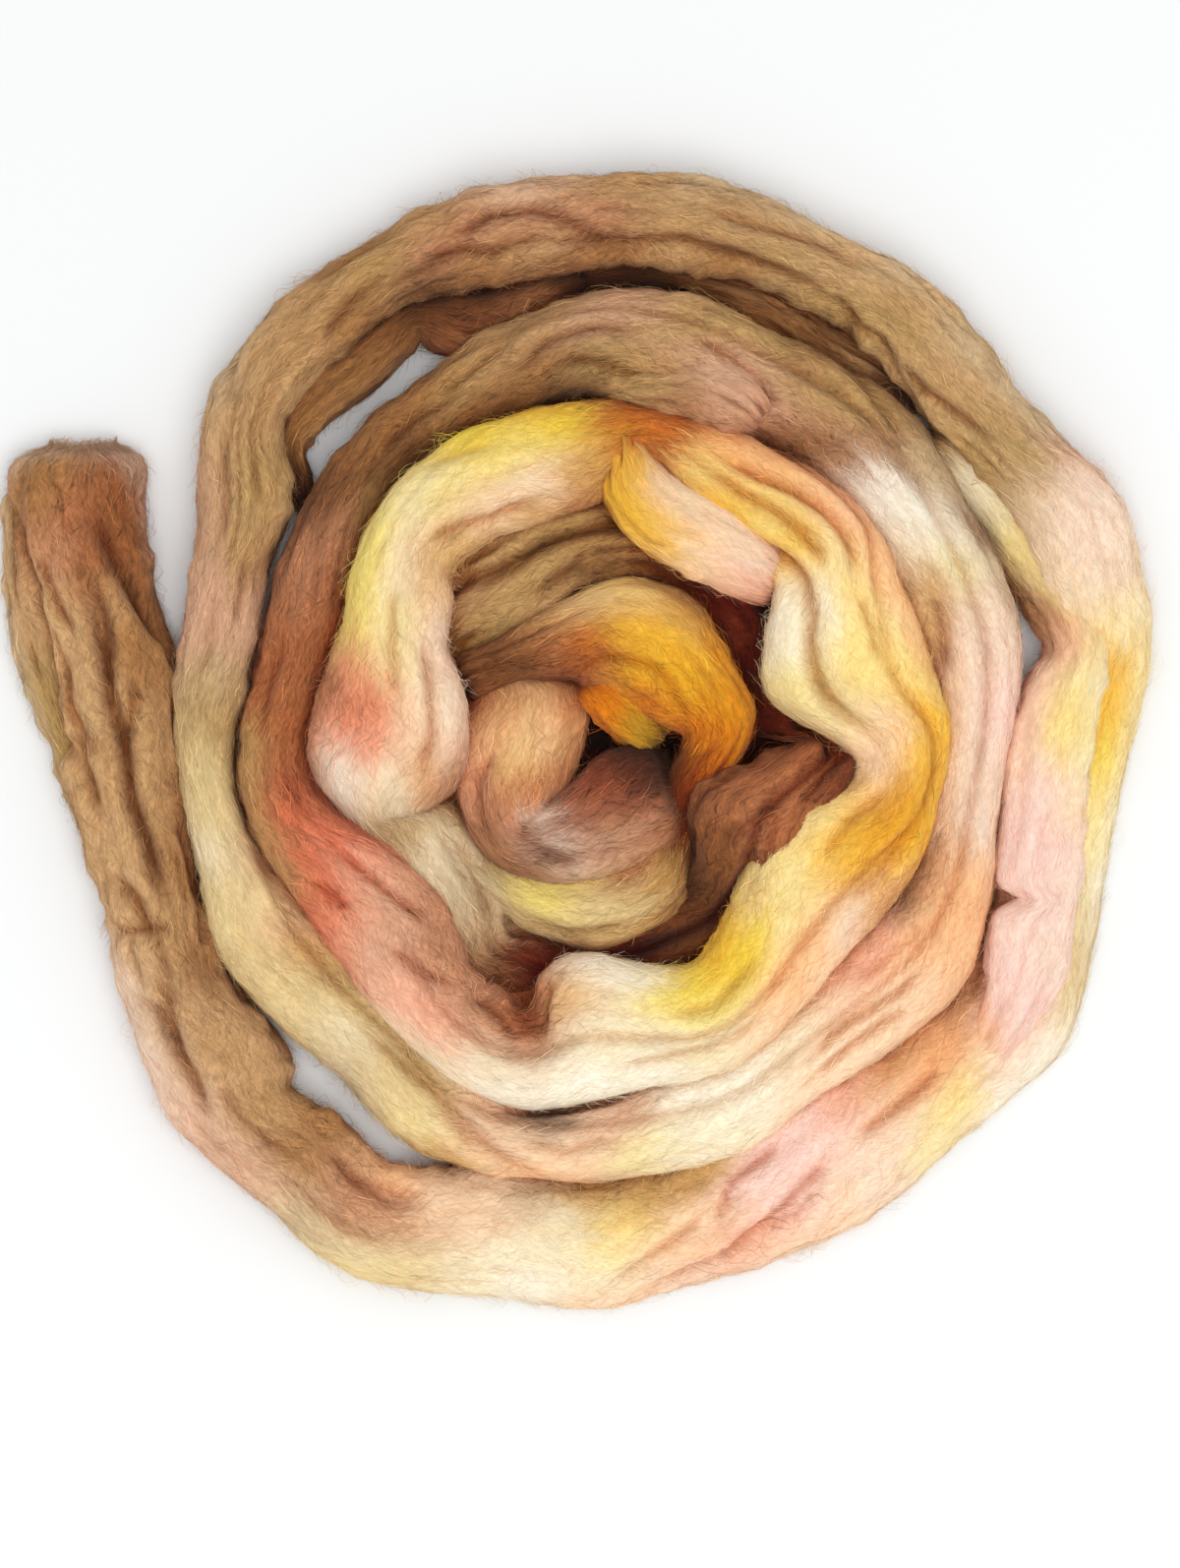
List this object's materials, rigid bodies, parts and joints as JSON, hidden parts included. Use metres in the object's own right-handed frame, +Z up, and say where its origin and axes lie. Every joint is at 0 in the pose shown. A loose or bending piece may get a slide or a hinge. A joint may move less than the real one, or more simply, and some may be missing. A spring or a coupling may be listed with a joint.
{
  "type": "wool roving",
  "caption": "Loose flat spiral of hand-dyed combed wool roving, lying on a surface, with a blunt loose end outside and soft lengthwise folds.",
  "frame": {"origin": "middle of the coil's box in plan, on the surface that it lies on", "axes": "+Z up from the surface, +X to the right of the coil with the loose end at -X, +Y to its far side, where the loose end points"},
  "size_m": [0.4692, 0.4626, 0.0563],
  "materials": {
    "wool": "soft matt combed wool, space-dyed in camel brown, cream, yellow, peach, pink, coral and gold"
  },
  "bodies": {
    "root": {"roving": "wool"}
  },
  "joints": []
}
